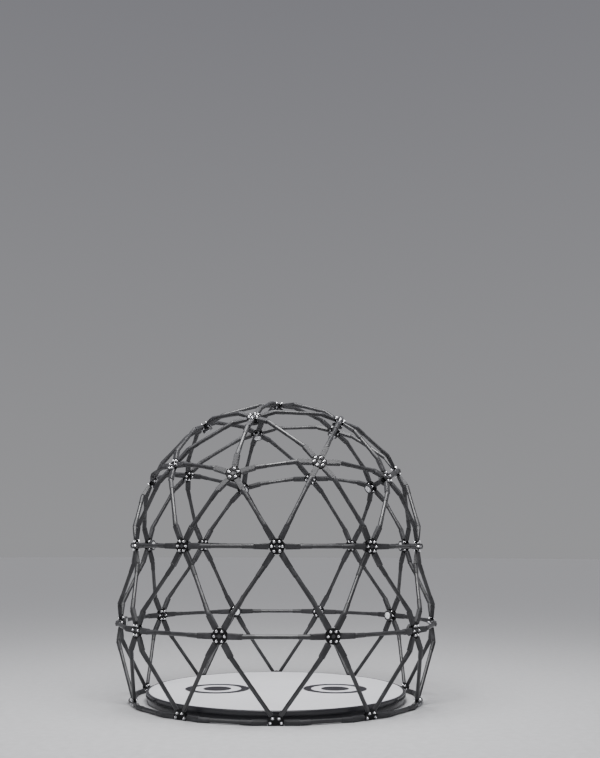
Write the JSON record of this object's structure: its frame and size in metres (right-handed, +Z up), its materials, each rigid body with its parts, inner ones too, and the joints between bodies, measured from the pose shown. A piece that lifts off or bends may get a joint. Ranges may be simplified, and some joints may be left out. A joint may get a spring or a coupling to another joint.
{
  "type": "dome climber",
  "caption": "Geodesic dome of black tubes bolted between round hub plates, with small light pods inside and a low round platform on the floor.",
  "frame": {"origin": "on the floor, at the middle of the dome", "axes": "+Z up; -Y towards the front hub of the waist; +X to the right of someone facing the front"},
  "size_m": [3.218, 3.1738, 2.996],
  "materials": {
    "tube_black": "satin powder coat",
    "cast_black": "satin powder coat on cast aluminium",
    "plate_black": "satin powder coat",
    "seal_rubber": "matte",
    "bolt_steel": "zinc plated",
    "nut_chrome": "polished",
    "cap_black": "satin",
    "pod_black": "fine moulded texture",
    "lens_white": "opal, smooth",
    "board_green": "solder resist",
    "battery_silver": "foil",
    "screw_black": "black oxide",
    "deck_pale": "fine grained vinyl",
    "board_birch": "bare birch plywood",
    "rim_black": "semi gloss",
    "spot_black": "matte vinyl"
  },
  "bodies": {
    "root": {"base_end_fittings": "cast_black", "base_inner_plates": "plate_black", "base_outer_plates": "plate_black", "base_ring_tubes": "tube_black", "belt_end_fittings": "cast_black", "belt_inner_plates": "plate_black", "belt_leg_tubes": "tube_black", "belt_outer_plates": "plate_black", "belt_ring_tubes": "tube_black", "crown_drop_tubes": "tube_black", "crown_end_fittings": "cast_black", "crown_fork_tubes": "tube_black", "crown_inner_plates": "plate_black", "crown_outer_plates": "plate_black", "crown_ring_tubes": "tube_black", "deck_bearers": "board_birch", "deck_boards": "board_birch", "deck_cover": "deck_pale", "deck_plinth": "rim_black", "deck_rim": "rim_black", "five_way_end_fittings": "cast_black", "five_way_inner_plates": "plate_black", "five_way_leg_tubes": "tube_black", "five_way_outer_plates": "plate_black", "foot_spots": "spot_black", "hub_bolts": "bolt_steel", "hub_centre_caps": "cap_black", "inner_cap_nuts": "nut_chrome", "leg_foot_fittings": "cast_black", "outer_cap_nuts": "nut_chrome", "pod_batteries": "battery_silver", "pod_bezels": "pod_black", "pod_housings": "pod_black", "pod_lenses": "lens_white", "pod_light_boards": "board_green", "pod_screws": "screw_black", "pod_spacers": "pod_black", "shoulder_ring_tubes": "tube_black", "six_way_end_fittings": "cast_black", "six_way_inner_plates": "plate_black", "six_way_leg_tubes": "tube_black", "six_way_outer_plates": "plate_black", "top_end_fittings": "cast_black", "top_inner_plates": "plate_black", "top_outer_plates": "plate_black", "top_spoke_tubes": "tube_black", "tube_seals": "seal_rubber", "waist_end_fittings": "cast_black", "waist_inner_plates": "plate_black", "waist_leg_tubes": "tube_black", "waist_outer_plates": "plate_black", "waist_ring_tubes": "tube_black"}
  },
  "joints": []
}
